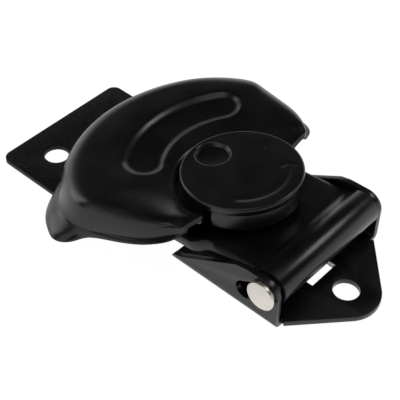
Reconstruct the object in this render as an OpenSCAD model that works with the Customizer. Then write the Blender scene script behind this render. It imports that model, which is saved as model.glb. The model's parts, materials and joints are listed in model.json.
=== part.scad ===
// Rotary draw latch: a slotted base bracket carries a sprung hinge pin, a hinge plate swings on the pin,
// and a half-moon handle turns on the hinge plate about an eccentric rivet to draw a keeper plate in.
// The origin is the centre of the base's apex mounting hole on the mounting surface. The keeper lies
// towards -X, and +Z points away from the mounting surface.

/* [Sheet] */
// Thickness of the pressed steel sheet
sheet_t = 1.5; // [1.2:0.1:2]
// Outer radius of the folds
fold_r = 2.1; // [1.8:0.1:3]
// Diameter of every mounting hole
mount_hole_d = 6.6; // [4:0.1:7.5]

/* [Base bracket] */
// Radius of the rounded apex around its mounting hole
apex_r = 8.5; // [7:0.1:11]
// Width across the outer faces of the ears
base_w = 40.4; // [37.5:0.1:46]
// Setback of the ears' upright edges from the apex hole
ear_setback = 5.4; // [4.5:0.1:5.4]
// Length of the base from the ears' upright edges to its keeper end
ear_len = 32.6; // [31:0.1:40]
// Height of the ears
ear_h = 14; // [13.6:0.1:16]
// Radius of the ears' top corner on the apex side
ear_corner_r = 4.4; // [3:0.1:5]
// Height of the ears' tips at the keeper end
ear_tip_h = 2.6; // [2:0.1:4]
// Inset of the tongue's corners from the folds
tongue_in = 0.3; // [0.2:0.1:2]
// Setback of the hidden pair of mounting holes from the apex hole
rear_hole_x = 29.5; // [28:0.1:32]
// Distance between the hidden pair of mounting holes
rear_hole_gap = 18; // [14:0.5:22]
// Width of the spring's anchor slot across the base
anchor_w = 9; // [6:0.5:14]
// Length of the spring's anchor slot along the base
anchor_len = 4.2; // [3.8:0.1:5]
// Setback of the anchor slot's near edge from the apex hole
anchor_x = 6.7; // [6.2:0.1:7]

/* [Hinge pin] */
// Setback of the pin axis from the apex hole
pin_x = 9.34; // [9:0.02:10]
// Height of the pin axis over the mounting surface
pin_z = 10.16; // [9.5:0.02:11]
// Diameter of the pin's shank
pin_d = 5; // [4:0.1:5.4]
// Diameter of the pin's formed head
pin_head_d = 7.6; // [6.5:0.1:8.4]
// Thickness of the pin's formed head
pin_head_t = 1.6; // [0.8:0.1:2]
// Diameter of the pin's peened tail
pin_tail_d = 6.2; // [6:0.1:7]
// Thickness of the pin's peened tail
pin_tail_t = 0.8; // [0.6:0.1:1.2]
// Radial clearance round the pin's shank
pin_clear = 0.06; // [0.03:0.01:0.09]
// Distance between the ends of the pin's place in the ears' slots
pin_travel = 6.7; // [5.4:0.1:7]
// Fall of the ears' slots towards the keeper, in degrees
slot_fall = 31; // [26:1:34]

/* [Hinge plate] */
// Fall of the closed hinge plate towards the keeper, in degrees
plate_fall = 5.5; // [4:0.5:6]
// Outer radius of the rolled eye round the pin
eye_r = 4.5; // [4.3:0.1:4.8]
// Height of the hinge plate's top face over the pin axis
plate_h = 2.7; // [2.5:0.1:3]
// Side clearance between the eye and the ears
eye_side = 0.8; // [0.3:0.1:1]
// Distance from the pin to the start of the flare
flare_start = 17.5; // [16:0.5:18]
// Length of the flare along the plate
flare_len = 5.5; // [4:0.5:7]
// Growth of the plate's half width in the flare
flare_out = 2.2; // [1.5:0.1:3.5]
// Distance from the pin to the plate's keeper end
plate_len = 42.5; // [41:0.5:46]
// Corner radius of the plate's keeper end
plate_corner_r = 9; // [6:0.5:12]
// Depth of the turned-down side flanges under the plate's top face
flange_depth = 2.8; // [2.6:0.1:3.4]

/* [Handle] */
// Distance from the pin to the centre of the dial cap
cap_along = 23.4; // [23:0.1:24]
// Distance from the cap's centre to the eccentric rivet
eccentric = 9.4; // [8:0.1:9.8]
// Height of the handle's inner edge over the pin axis
handle_h = 9; // [8.6:0.1:9.6]
// Rise of the handle's domed top over its inner edge
crown = 1.6; // [1:0.1:1.8]
// Distance from the cap's centre to the centre of the rim's arc
rim_at = 6.8; // [6:0.1:7.4]
// Radius of the rim's arc
rim_r = 41.2; // [40:0.1:43]
// Angle from the middle of the rim to the corner of a nose, in degrees
rim_half = 62; // [60:0.5:64]
// Draw-in of the rim's wall before the noses
rim_draw = 1.6; // [1:0.1:2.2]
// Radius of the wall's corner at the noses
nose_r = 3; // [2.4:0.1:4]
// Reach of the flared lip at the noses
lip_out = 4.8; // [3.6:0.1:5.2]
// Height of the flared lip at the noses
lip_h = 2.9; // [2.2:0.1:3.2]
// Reach and height of the lip along the trailing edges
trail_lip = 0.6; // [0.4:0.1:1]
// Reach and height of the lip along the rim
rim_lip = 0.3; // [0.2:0.1:0.5]
// Height of the rim's lower edge over the pin axis
rim_low = 1.4; // [1.2:0.1:2]
// Height of the noses' lower edge over the pin axis
nose_low = 1.3; // [1.2:0.1:2.2]
// Width of the rim's rounded shoulder in plan
shoulder = 7; // [6:0.5:9]
// Radius of the handle's inner edge round the dial cap
inner_r = 16.2; // [16:0.1:17.5]
// Mean radius of the finger groove
groove_r = 24.4; // [23:0.1:25]
// Distance from the cap's centre to the centre of the groove's arc
groove_at = 3; // [2.4:0.1:3.6]
// Sideways shift of the groove's arc
groove_shift = 3.4; // [-3.4:0.1:3.4]
// Width of the finger groove
groove_w = 10.6; // [8:0.1:11]
// Depth of the finger groove
groove_d = 1; // [0.5:0.1:1.4]
// Angle of the groove's ends from its middle, in degrees
groove_half = 37; // [30:1:38]

/* [Dial cap] */
// Radius of the dial cap
cap_r = 15.2; // [14.4:0.1:15.6]
// Thickness of the dial cap
cap_t = 2; // [1.8:0.1:2.6]
// Height of the cap's top face over the pin axis
cap_h = 11.5; // [11.2:0.1:12.4]
// Rounding of the cap's top edge
cap_round = 1; // [0.5:0.1:1.4]
// Height of the skirt's lower edge over the pin axis
skirt_low = 4.8; // [4:0.1:5.4]
// Distance from the cap's centre to the ends of its half skirt
skirt_from = 2.6; // [2:0.1:4]
// Radius of the dished recess over the rivet
dish_r = 4.7; // [4:0.1:5.2]
// Depth of the dished recess
dish_d = 1.2; // [0.8:0.1:1.4]
// Radius of the arrow groove round the cap's centre
arrow_r = 11.2; // [10:0.1:12]
// Width of the arrow groove's shaft
arrow_w = 2.4; // [1:0.1:2.8]
// Depth of the arrow groove
arrow_d = 0.6; // [0.3:0.1:0.8]
// Angle of the arrow's ends from its middle, in degrees
arrow_half = 54; // [40:1:60]

/* [Pivot] */
// Diameter of the rivet's shank in the hinge plate
rivet_d = 6; // [5:0.1:7]
// Diameter of the rivet's head in the dished recess
rivet_head_d = 7; // [6.6:0.1:7.6]
// Thickness of the rivet's formed tail
tail_t = 1.2; // [0.8:0.1:1.6]
// Outer radius of the hub's boss and of the washers
boss_r = 7.5; // [6.5:0.1:8]
// Radial clearance round the rivet's shank
turn_clear = 0.06; // [0.03:0.01:0.09]
// Gap between flat faces that turn on each other
face_gap = 0.1; // [0.05:0.01:0.15]
// Thickness of each washer
washer_t = 0.8; // [0.6:0.1:1]

/* [Return spring] */
// Thickness of the leaf spring
leaf_t = 0.7; // [0.5:0.05:0.9]
// Side clearance of the leaf in its anchor slot
leaf_side = 0.3; // [0.1:0.05:0.6]
// Gap between the leaf and the eye at rest
leaf_gap = 0.3; // [0.2:0.05:0.5]
// Length of the leaf past the line where it meets the eye
leaf_past = 2.2; // [1:0.1:2.6]

/* [Keeper plate] */
// Width of the keeper plate
keeper_w = 42; // [38:0.5:46]
// Setback of the keeper's far edge from the apex hole
keeper_far = 95.4; // [94:0.1:98]
// Corner radius of the keeper's far corners
keeper_corner_r = 2.5; // [1:0.1:5]
// Sideways shift of the loose keeper
keeper_shift = -4; // [-4:0.5:4]
// Setback of the keeper's holes from its far edge
keeper_hole_in = 10; // [8:0.1:11]
// Distance between the keeper's holes
keeper_hole_gap = 20.8; // [16:0.1:26]
// Play between the keeper's hook and the inside of the rim
hook_play = 2; // [1.9:0.1:3]
// Half width of the keeper's hook
hook_half = 10; // [8:0.5:11]
// Height of the keeper's hook over the mounting surface
hook_h = 6; // [5.6:0.1:6.6]

/* [Hidden] */
$fn = 96;
eps = 0.01;

coat = [0.04, 0.04, 0.045];
matt_coat = [0.07, 0.07, 0.07];
plated = [0.72, 0.69, 0.64];
spring_steel = [0.35, 0.35, 0.37];

ear_x0 = -ear_setback - ear_len;
ear_x1 = -ear_setback;
ear_in = base_w / 2 - sheet_t;
pin_r = pin_d / 2;
slot_r = pin_r + pin_clear;
eye_half = ear_in - eye_side;
plate_low = plate_h - sheet_t;
cap_low = cap_h - cap_t;
skirt_r = cap_r - 0.4;
skirt_in = skirt_r - sheet_t;
hub_r = skirt_in - sheet_t - face_gap;
seat_drop = 2.2;
hub_top = handle_h - seat_drop;
hub_low = hub_top - sheet_t;
boss_low = plate_h + washer_t + face_gap;
rivet_at = cap_along + eccentric;
rivet_hole_r = rivet_d / 2 + turn_clear;

// Point on a circle
function polar(r, a) = [r * cos(a), r * sin(a)];

// Points along an arc from angle a to angle b
function arc(c, r, a, b, n) = [for (i = [0:n]) c + polar(r, a + (b - a) * i / n)];

// Smooth step from 0 to 1
function ease(t) = let (s = min(1, max(0, t))) s * s * (3 - 2 * s);

// The frame of the closed hinge plate: pin axis at the origin, keeper towards -X, +Z off its top face
module on_plate() {
    translate([-pin_x, 0, pin_z])
        rotate([0, -plate_fall, 0])
            children();
}

// The same frame moved to the cap's centre or to the rivet
module on_cap() {
    on_plate()
        translate([-cap_along, 0, 0])
            children();
}

module on_rivet() {
    on_plate()
        translate([-rivet_at, 0, 0])
            children();
}

// A round washer or plain ring
module ring(r_out, r_in, t) {
    difference() {
        cylinder(r = r_out, h = t);
        translate([0, 0, -eps])
            cylinder(r = r_in, h = t + 2 * eps);
    }
}

// Upright outline of an ear, in X and Z
module ear_outline() {
    tip_round = ear_tip_h / 2;
    ramp_foot = [ear_x0 + 3.2, ear_tip_h + 0.6];
    ramp_head = [-pin_x - eye_r - 4.2, ear_h - 0.9];
    brow = ramp_head + [3, 0.7];
    polygon(concat(
        [[ear_x0, 0]],
        arc([ear_x0 + tip_round, tip_round], tip_round, 180, 90, 6),
        [ramp_foot, ramp_head, brow],
        arc([ear_x1 - ear_corner_r, ear_h - ear_corner_r], ear_corner_r, 90, 0, 12),
        [[ear_x1, 0]]));
}

// Cross-section of the folded channel, in Y and Z
module channel_section() {
    w = base_w / 2;
    difference() {
        union() {
            translate([-w, fold_r])
                square([base_w, ear_h]);
            translate([-w + fold_r, 0])
                square([base_w - 2 * fold_r, fold_r + eps]);
            for (s = [-1, 1])
                translate([s * (w - fold_r), fold_r])
                    circle(fold_r);
        }
        translate([-ear_in, fold_r])
            square([2 * ear_in, ear_h + 1]);
        translate([-w + fold_r, sheet_t])
            square([base_w - 2 * fold_r, ear_h]);
        for (s = [-1, 1])
            translate([s * (w - fold_r), fold_r])
                circle(fold_r - sheet_t);
    }
}

// Outline of the flat tongue that runs from the ears to the rounded apex
module tongue_outline() {
    corner = [ear_x1 + sheet_t / 2, base_w / 2 - fold_r - tongue_in];
    root = corner - [2 * sheet_t, sheet_t];
    touch = atan2(corner[1], corner[0]) - acos(apex_r / norm(corner));
    edge = polar(apex_r, touch);
    circle(apex_r);
    polygon([root, corner, edge, [0, 0], [edge[0], -edge[1]], [corner[0], -corner[1]], [root[0], -root[1]]]);
}

// Slot through both ears: the pin rests at its apex end
module pin_slots() {
    run = base_w + 2;
    translate([-pin_x, -run / 2, pin_z])
        rotate([-90, 0, 0])
            rotate([0, 0, 180 - slot_fall])
                linear_extrude(run)
                    union() {
                        circle(slot_r);
                        translate([0, -slot_r])
                            square([pin_travel, 2 * slot_r]);
                        translate([pin_travel, 0])
                            circle(slot_r);
                    }
}

module base_bracket() {
    color(coat)
        difference() {
            union() {
                intersection() {
                    translate([ear_x0, 0, 0])
                        rotate([90, 0, 90])
                            linear_extrude(ear_len)
                                channel_section();
                    translate([0, base_w / 2 + 1, 0])
                        rotate([90, 0, 0])
                            linear_extrude(base_w + 2)
                                ear_outline();
                }
                linear_extrude(sheet_t)
                    tongue_outline();
            }
            translate([0, 0, -1])
                cylinder(d = mount_hole_d, h = sheet_t + 2);
            for (s = [-1, 1])
                translate([-rear_hole_x, s * rear_hole_gap / 2, -1])
                    cylinder(d = mount_hole_d, h = sheet_t + 2);
            translate([-anchor_x - anchor_len, -anchor_w / 2, -1])
                cube([anchor_len, anchor_w, sheet_t + 2]);
            pin_slots();
        }
}

// Leaf spring: a tab in the anchor slot and a blade that leans on the eye across the pin's slots
module return_spring() {
    wide = anchor_w - 2 * leaf_side;
    push = [cos(slot_fall), sin(slot_fall)];
    rise = [-push[1], push[0]];
    meet = [-pin_x, pin_z] - (eye_r + leaf_gap) * push;
    back = -anchor_x - anchor_len;
    foot = 0.1;
    bend_z = sheet_t + 0.2;
    blade_z = bend_z + 0.9;
    face = meet + rise * ((blade_z - meet[1]) / rise[1]);
    top = meet + leaf_past * rise;
    color(spring_steel)
        translate([0, wide / 2, 0])
            rotate([90, 0, 0])
                linear_extrude(wide)
                    polygon([[back, foot], [back + leaf_t, foot], [back + leaf_t, bend_z], face, top,
                             top - leaf_t * push, face - leaf_t * push, [back, bend_z]]);
}

module hinge_pin() {
    seat = base_w / 2 + face_gap;
    head_end = -seat - pin_head_t;
    tail_end = seat + pin_tail_t;
    head_r = pin_head_d / 2;
    tail_r = pin_tail_d / 2;
    edge = 0.35;
    color(plated)
        translate([-pin_x, 0, pin_z])
            rotate([-90, 0, 0])
                rotate_extrude()
                    polygon([[0, head_end], [head_r - edge, head_end], [head_r, head_end + edge],
                             [head_r, -seat], [pin_r, -seat], [pin_r, seat], [tail_r, seat],
                             [tail_r, seat + pin_tail_t / 2], [pin_r - edge, tail_end], [0, tail_end]]);
}

// Half width of the hinge plate at a distance from the pin
function plate_half(u) = eye_half + flare_out * ease((u - flare_start) / flare_len);

// Plan outline of the hinge plate, drawn in by an inset, from one distance to another
module plate_plan(inset, from, to) {
    steps = 12;
    stations = concat([from], [for (i = [0:steps]) flare_start + flare_len * i / steps]);
    wide = plate_half(to) - inset;
    r = plate_corner_r - inset;
    side = concat([for (u = stations) [-u, plate_half(u) - inset]],
                  [for (p = arc([to - r, wide - r], r, 90, 0, 10)) [-p[0], p[1]]]);
    polygon(concat(side, [for (i = [len(side) - 1:-1:0]) [side[i][0], -side[i][1]]]));
}

// Rolled eye with its blend into the plate, in distance from the pin and height
module eye_section() {
    blend_r = 4;
    bx = sqrt(pow(eye_r + blend_r, 2) - pow(plate_h + blend_r, 2));
    touch = [-bx, plate_h + blend_r] * eye_r / (eye_r + blend_r);
    slit = 0.5;
    difference() {
        union() {
            circle(eye_r);
            difference() {
                polygon([[0, 0], touch, [-bx, plate_h + blend_r], [-bx, plate_low], [0, plate_low]]);
                translate([-bx, plate_h + blend_r])
                    circle(blend_r);
            }
        }
        circle(slot_r);
        translate([-eye_r - 1, plate_low - slit])
            square([eye_r, slit]);
    }
}

module hinge_plate() {
    from = eye_r - 0.4;
    flange_from = from + 2;
    color(coat)
        on_plate()
            difference() {
                union() {
                    translate([0, eye_half, 0])
                        rotate([90, 0, 0])
                            linear_extrude(2 * eye_half)
                                eye_section();
                    translate([0, 0, plate_low])
                        linear_extrude(sheet_t)
                            plate_plan(0, from, plate_len);
                    translate([0, 0, plate_h - flange_depth])
                        linear_extrude(flange_depth - sheet_t + eps)
                            difference() {
                                plate_plan(0, flange_from, plate_len);
                                plate_plan(sheet_t, 0, plate_len);
                            }
                }
                translate([-rivet_at, 0, plate_low - 1])
                    cylinder(r = rivet_hole_r, h = sheet_t + 2);
            }
}

// Rivet: a low head in the cap's dish, a shank that the hub turns on, and a tail formed under the plate
module pivot_rivet() {
    head_low = cap_h - dish_d + face_gap;
    head_r = rivet_head_d / 2;
    crown = 0.7;
    pit_r = 1.6;
    tail_top = plate_low - washer_t;
    tail_r = boss_r - 2;
    tail_taper = 1;
    r = rivet_d / 2;
    color(coat)
        on_rivet()
            rotate_extrude()
                polygon([[0, tail_top - tail_t], [tail_r - tail_taper, tail_top - tail_t], [tail_r, tail_top],
                         [r, tail_top], [r, head_low], [head_r, head_low],
                         [head_r - crown / 2, head_low + 0.7 * crown], [pit_r, head_low + crown],
                         [pit_r / 2, head_low + crown / 2], [0, head_low + crown / 2]]);
}

module rivet_washer() {
    color(plated)
        on_rivet()
            translate([0, 0, plate_low - washer_t])
                ring(boss_r, rivet_hole_r, washer_t);
}

module friction_washer() {
    color(plated)
        on_rivet()
            translate([0, 0, plate_h])
                ring(boss_r, rivet_hole_r, washer_t);
}

// Hub: a disc under the cap and an eccentric boss that stands on the friction washer
module pivot_hub() {
    color(coat)
        on_cap()
            difference() {
                union() {
                    intersection() {
                        translate([0, 0, hub_low])
                            cylinder(r = inner_r + sheet_t, h = hub_top - hub_low);
                        translate([-2 * inner_r, -inner_r, 0])
                            cube([2 * inner_r, 2 * inner_r, cap_h]);
                    }
                    translate([0, 0, hub_low])
                        cylinder(r = hub_r, h = cap_low - hub_low);
                    translate([-eccentric, 0, boss_low])
                        cylinder(r = boss_r, h = hub_top - boss_low);
                }
                translate([-eccentric, 0, boss_low - 1])
                    cylinder(r = rivet_hole_r, h = cap_h);
            }
}

// Half outline of the handle at the foot of its wall: rim, corner at a nose, hollow trailing edge and end
rim_steps = 18;
nose_steps = 6;
trail_steps = 9;
tip_steps = 4;
rim_c = [rim_at, 0];
draw_from = 34;
draw_to = rim_half - 2;
lip_from = draw_from - 2;
lip_full = draw_to - 4;
nose_turn = 74;
nose_end = rim_half + nose_turn;
nose_c = rim_c + polar(rim_r - rim_draw - nose_r, rim_half);
tip_low = handle_h - 2.8;
tip_shoulder = 4.5;
tip_r = 3;
tip_from = 115;
tip_to = 165;
tip_c = [3.2, inner_r + 8.4];
end_low = tip_low + 1;
end_shoulder = 1.6;
trail_a = nose_c + polar(nose_r, nose_end);
trail_b = trail_a + polar(2.4, nose_end + 90);
trail_d = tip_c + polar(tip_r, tip_from);
trail_c = trail_d + polar(5.5, 42);

function mix(from, to, t) = from + (to - from) * t;

// Point on the trailing edge, and the way out from it
function trail(t) = pow(1 - t, 3) * trail_a + 3 * t * pow(1 - t, 2) * trail_b
    + 3 * t * t * (1 - t) * trail_c + pow(t, 3) * trail_d;
function trail_out(t) =
    let (q = pow(1 - t, 2) * (trail_b - trail_a) + 2 * t * (1 - t) * (trail_c - trail_b)
             + t * t * (trail_d - trail_c))
    [q[1], -q[0]] / norm(q);

// Each station: foot of the wall, way out, angle on the inner edge, height of the lower edge,
// width of the shoulder, reach of the lip and height of the lip
inner_rim = 40;
inner_nose = 52;
inner_tip = 80;
inner_end = 94;
half_stations = concat(
    [for (i = [0:rim_steps])
        let (t = i / rim_steps, a = rim_half * t)
        let (drawn = rim_draw * ease((a - draw_from) / (draw_to - draw_from)))
        let (flare = ease((a - lip_from) / (lip_full - lip_from)))
        [rim_c + polar(rim_r - drawn, a), polar(1, a), inner_rim * t,
         mix(rim_low, nose_low, ease(3 * t - 2)), shoulder,
         mix(rim_lip, lip_out, flare), mix(rim_lip, lip_h, flare)]],
    [for (i = [1:nose_steps])
        let (t = i / nose_steps, a = rim_half + nose_turn * t)
        [nose_c + polar(nose_r, a), polar(1, a), mix(inner_rim, inner_nose, t), nose_low, shoulder,
         mix(lip_out, trail_lip, ease(t)), mix(lip_h, trail_lip, ease(t))]],
    [for (i = [1:trail_steps])
        let (t = i / trail_steps)
        [trail(t), trail_out(t), mix(inner_nose, inner_tip, t), mix(nose_low, tip_low, t),
         mix(shoulder, tip_shoulder, t), trail_lip, trail_lip]],
    [for (i = [1:tip_steps])
        let (t = i / tip_steps, a = mix(tip_from, tip_to, t))
        [tip_c + polar(tip_r, a), polar(1, a), mix(inner_tip, inner_end, t), mix(tip_low, end_low, t),
         mix(tip_shoulder, end_shoulder, t), mix(trail_lip, rim_lip, t), mix(trail_lip, rim_lip, t)]]);
half_count = len(half_stations);
stations = concat(
    [for (i = [half_count - 1:-1:1])
        let (s = half_stations[i])
        [[s[0][0], -s[0][1]], [s[1][0], -s[1][1]], -s[2], s[3], s[4], s[5], s[6]]],
    half_stations);

// Depth of the finger groove at a point of the handle's plan
groove_wall = 1.6;
function groove(p) =
    let (q = p - [groove_at, groove_shift], a = atan2(q[1], q[0]))
    let (c = polar(groove_r, min(groove_half, max(-groove_half, a))))
    groove_d * ease((groove_w / 2 - norm(q - c)) / groove_wall);

// Section of the handle from its inner edge to the foot of its wall, as distance and height
edge_round = 2;
least_land = 0.6;
edge_steps = 4;
top_steps = 12;
shoulder_steps = 7;
lip_steps = 4;
shoulder_bend = 2 / 2.3;
function section(run, sill, wide, depth) =
    let (w = min(wide, run - edge_round - least_land), top = handle_h + crown - depth)
    concat(
        [[depth, hub_top]],
        [for (i = [0:edge_steps])
            let (a = 180 - 90 * i / edge_steps)
            [edge_round, handle_h - edge_round] + polar(edge_round - depth, a)],
        [for (i = [1:top_steps])
            let (t = i / top_steps)
            [mix(edge_round, run - w, t), handle_h - depth + crown * sin(90 * t)]],
        [for (i = [1:shoulder_steps])
            let (a = 90 * i / shoulder_steps)
            [run - w + w * pow(sin(a), shoulder_bend), sill + (top - sill) * pow(cos(a), shoulder_bend)]]);

// Sheet surface of the handle at a depth under its outer face, one list of points for each station
function skin(depth) = [for (s = stations)
    let (a = polar(inner_r, s[2]), foot = s[0] - depth * s[1], run = norm(foot - a), dir = (foot - a) / run)
    let (sill = s[3] + max(0, s[6] - depth))
    concat(
        [for (q = section(run, sill, s[4] - depth, depth))
            let (p = a + dir * q[0])
            [-p[0], p[1], q[1] - groove(p)]],
        [for (i = [1:lip_steps])
            let (b = 90 * i / lip_steps, p = foot + s[5] * sin(b) * s[1])
            [-p[0], p[1], mix(s[3], sill, cos(b))]])];

module half_moon_handle() {
    outer = skin(0);
    inner = skin(sheet_t);
    rows = len(outer);
    cols = len(outer[0]);
    n = rows * cols;
    function at(i, j) = i * cols + j;
    points = concat([for (row = outer) each row], [for (row = inner) each row]);
    sheets = [for (i = [0:rows - 2]) for (j = [0:cols - 2]) each [
        [at(i, j), at(i, j + 1), at(i + 1, j + 1)], [at(i, j), at(i + 1, j + 1), at(i + 1, j)],
        [n + at(i, j), n + at(i + 1, j + 1), n + at(i, j + 1)],
        [n + at(i, j), n + at(i + 1, j), n + at(i + 1, j + 1)]]];
    rims = [for (i = [0:rows - 2]) each [
        [at(i, 0), at(i + 1, 0), n + at(i + 1, 0)], [at(i, 0), n + at(i + 1, 0), n + at(i, 0)],
        [at(i, cols - 1), n + at(i + 1, cols - 1), at(i + 1, cols - 1)],
        [at(i, cols - 1), n + at(i, cols - 1), n + at(i + 1, cols - 1)]]];
    ends = [for (j = [0:cols - 2]) each [
        [at(0, j), n + at(0, j), n + at(0, j + 1)], [at(0, j), n + at(0, j + 1), at(0, j + 1)],
        [at(rows - 1, j), n + at(rows - 1, j + 1), n + at(rows - 1, j)],
        [at(rows - 1, j), at(rows - 1, j + 1), n + at(rows - 1, j + 1)]]];
    color(coat)
        on_cap()
            polyhedron(points, concat(sheets, rims, ends));
}

// Recessed arrow on the cap, curving counter-clockwise round the apex side
module arrow_plan() {
    head_back = 12;
    head_past = 6;
    neck = arrow_half - head_back;
    tip = polar(arrow_r, arrow_half + head_past);
    barb = 2.4;
    away = 2 * arrow_r;
    difference() {
        circle(arrow_r + arrow_w / 2);
        circle(arrow_r - arrow_w / 2);
        polygon(concat([[0, 0]], arc([0, 0], away, neck, 360 - arrow_half, 24)));
    }
    polygon([tip, polar(arrow_r - barb, neck), polar(arrow_r + barb, neck)]);
}

module dial_cap() {
    dish_floor_r = dish_r - 0.8;
    color(coat)
        on_cap()
            difference() {
                union() {
                    rotate_extrude()
                        union() {
                            translate([0, cap_low])
                                square([cap_r - cap_round, cap_t]);
                            translate([0, cap_low])
                                square([cap_r, cap_t - cap_round]);
                            translate([cap_r - cap_round, cap_h - cap_round])
                                circle(cap_round);
                        }
                    intersection() {
                        translate([0, 0, skirt_low])
                            ring(skirt_r, skirt_in, cap_low - skirt_low + eps);
                        translate([skirt_from, -cap_r, 0])
                            cube([cap_r, 2 * cap_r, cap_h]);
                    }
                }
                translate([-eccentric, 0, cap_h - dish_d])
                    cylinder(r1 = dish_floor_r, r2 = dish_r, h = dish_d + eps);
                translate([-eccentric, 0, cap_low - 1])
                    cylinder(r = rivet_hole_r, h = cap_t + 2);
                translate([0, 0, cap_h - arrow_d])
                    linear_extrude(arrow_d + 1)
                        arrow_plan();
            }
}

module keeper_plate() {
    cx = -pin_x - (cap_along + rim_at) * cos(plate_fall);
    hook_r = rim_r - sheet_t - hook_play;
    w = keeper_w / 2;
    color(matt_coat)
        translate([0, keeper_shift, 0])
            difference() {
                union() {
                    linear_extrude(sheet_t)
                        difference() {
                            union() {
                                translate([-keeper_far + keeper_corner_r, -w])
                                    square([keeper_far + cx, keeper_w]);
                                translate([-keeper_far, -w + keeper_corner_r])
                                    square([keeper_far, keeper_w - 2 * keeper_corner_r]);
                                for (s = [-1, 1])
                                    translate([-keeper_far + keeper_corner_r, s * (w - keeper_corner_r)])
                                        circle(keeper_corner_r);
                            }
                            translate([cx, 0])
                                circle(hook_r - sheet_t);
                            translate([cx, -keeper_w])
                                square([-cx + 1, 2 * keeper_w]);
                        }
                    intersection() {
                        translate([cx, 0, 0])
                            ring(hook_r, hook_r - sheet_t, hook_h);
                        translate([cx - rim_r, -hook_half, 0])
                            cube([rim_r, 2 * hook_half, hook_h]);
                    }
                }
                for (s = [-1, 1])
                    translate([-keeper_far + keeper_hole_in, s * keeper_hole_gap / 2, -1])
                        cylinder(d = mount_hole_d, h = sheet_t + 2);
            }
}

base_bracket();
keeper_plate();
return_spring();
hinge_pin();
hinge_plate();
pivot_rivet();
rivet_washer();
friction_washer();
pivot_hub();
half_moon_handle();
dial_cap();
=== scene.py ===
"""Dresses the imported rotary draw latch: coated pressings, a plated pin, a white studio and a camera."""
from __future__ import annotations

import json
import logging
import math
from dataclasses import dataclass, field
from enum import Enum
from typing import Callable, Sequence

import bpy
import numpy as np
from mathutils import Matrix, Vector

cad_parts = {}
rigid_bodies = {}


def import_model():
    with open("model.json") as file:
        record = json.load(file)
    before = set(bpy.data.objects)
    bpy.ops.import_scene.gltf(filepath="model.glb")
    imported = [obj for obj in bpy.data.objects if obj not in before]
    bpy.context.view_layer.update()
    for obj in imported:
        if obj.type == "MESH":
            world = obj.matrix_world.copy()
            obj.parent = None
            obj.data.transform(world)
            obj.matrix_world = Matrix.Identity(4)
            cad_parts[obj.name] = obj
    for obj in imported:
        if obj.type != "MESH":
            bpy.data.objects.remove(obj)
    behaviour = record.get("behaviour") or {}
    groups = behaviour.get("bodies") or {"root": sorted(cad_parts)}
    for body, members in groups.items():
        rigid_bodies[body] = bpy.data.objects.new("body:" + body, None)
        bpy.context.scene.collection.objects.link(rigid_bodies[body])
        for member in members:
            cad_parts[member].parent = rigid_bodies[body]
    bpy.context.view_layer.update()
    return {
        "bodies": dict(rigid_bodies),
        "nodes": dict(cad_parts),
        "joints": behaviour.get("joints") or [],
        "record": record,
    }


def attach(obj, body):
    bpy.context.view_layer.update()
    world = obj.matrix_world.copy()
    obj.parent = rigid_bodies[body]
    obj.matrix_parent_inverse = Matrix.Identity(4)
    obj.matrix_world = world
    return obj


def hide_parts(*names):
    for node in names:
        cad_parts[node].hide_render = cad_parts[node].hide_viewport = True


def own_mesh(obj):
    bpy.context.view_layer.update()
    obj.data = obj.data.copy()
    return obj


MM = 0.001
EDGE_LAYER = "rub"
LOG = logging.getLogger("draw_latch")


class Body(Enum):
    """The moving bodies of the latch."""

    BASE = "base"
    PIN = "pin"
    CARRIER = "carrier"
    HANDLE = "handle"


class Slot(Enum):
    """The finishes that the latch's pieces take."""

    BLACK = "black_coat"
    MATT = "matt_black_coat"
    PLATED = "plated_steel"
    SPRING = "spring_steel"


def smooth(t: np.ndarray) -> np.ndarray:
    """Smooth step from 0 to 1."""
    s = np.clip(t, 0.0, 1.0)
    return s * s * (3.0 - 2.0 * s)


def mix(first: object, last: object, t: np.ndarray) -> np.ndarray:
    """Value at a share of the way from one to another."""
    return first + (last - first) * t


def polar(r: object, degrees: object) -> np.ndarray:
    """Points on a circle round the origin."""
    a = np.radians(degrees)
    return np.stack([r * np.cos(a), r * np.sin(a)], -1)


def late(t: np.ndarray, start: float) -> np.ndarray:
    """Smooth step that starts at a share of the way and is full at the end."""
    return smooth((t - start) / (1.0 - start))


def unit(ways: np.ndarray) -> np.ndarray:
    """Ways with a length of one."""
    return ways / np.linalg.norm(ways, axis=-1, keepdims=True)


def soften(rows: np.ndarray, width: float, spread: float) -> np.ndarray:
    """Soften rows of values along a line with a bell curve, and keep the first and the last row.

    Args:
        rows: The values, one row for each place on the line.
        width: Width of the bell curve, in places.
        spread: Widths that the curve reaches each way.

    Returns:
        The softened rows.
    """
    pad = int(spread * width)
    bell = np.exp(-0.5 * (np.arange(-pad, pad + 1) / width) ** 2)
    before = 2 * rows[:1] - rows[pad:0:-1]
    after = 2 * rows[-1:] - rows[-2:-pad - 2:-1]
    long = np.concatenate([before, rows, after])
    return np.apply_along_axis(np.convolve, 0, long, bell / bell.sum(), "valid")


def opaque(color: Sequence[float]) -> tuple[float, ...]:
    """A colour with full cover."""
    return (*color, 1.0)


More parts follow.
